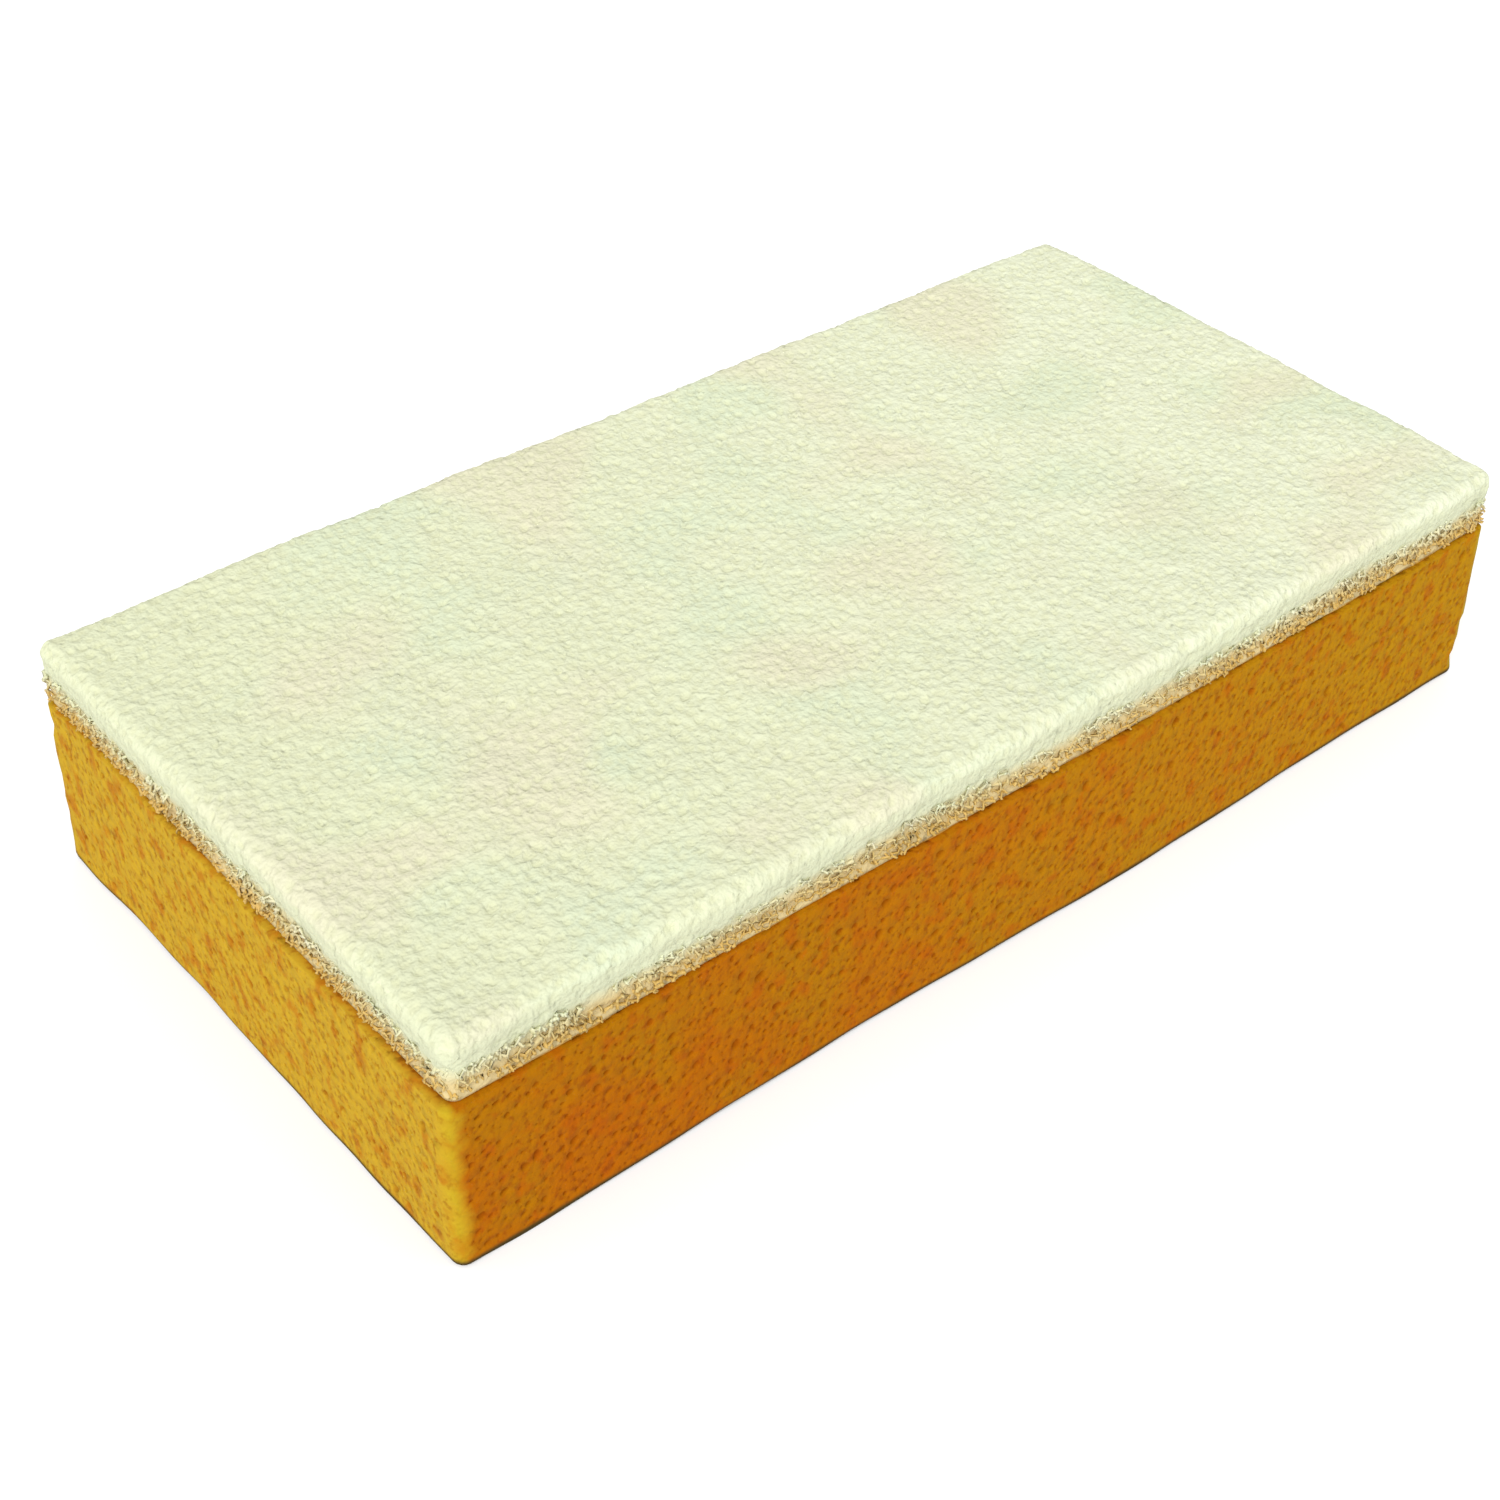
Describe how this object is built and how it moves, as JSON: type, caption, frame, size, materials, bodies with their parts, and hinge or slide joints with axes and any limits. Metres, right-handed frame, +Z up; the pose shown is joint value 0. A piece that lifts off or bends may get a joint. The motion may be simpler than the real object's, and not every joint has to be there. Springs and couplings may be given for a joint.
{
  "type": "grout sponge",
  "caption": "Rectangular two-layer tiler's sponge: a pitted open-cell wash block with a coarse open-mesh scrub pad bonded over its whole top face.",
  "frame": {"origin": "middle of the flat wiping face under the sponge block", "axes": "+X along the length, +Y across the width, +Z up out of the scrub pad's face"},
  "size_m": [0.28, 0.14, 0.055],
  "materials": {
    "wash_foam": "matte open-cell foam, pitted",
    "bond_film": "thin translucent hot-melt film",
    "scrub_mesh": "white open-mesh scouring layer, slightly glossy strands"
  },
  "bodies": {
    "root": {"sponge_block": "wash_foam", "adhesive_film": "bond_film", "scrub_pad": "scrub_mesh"}
  },
  "joints": []
}
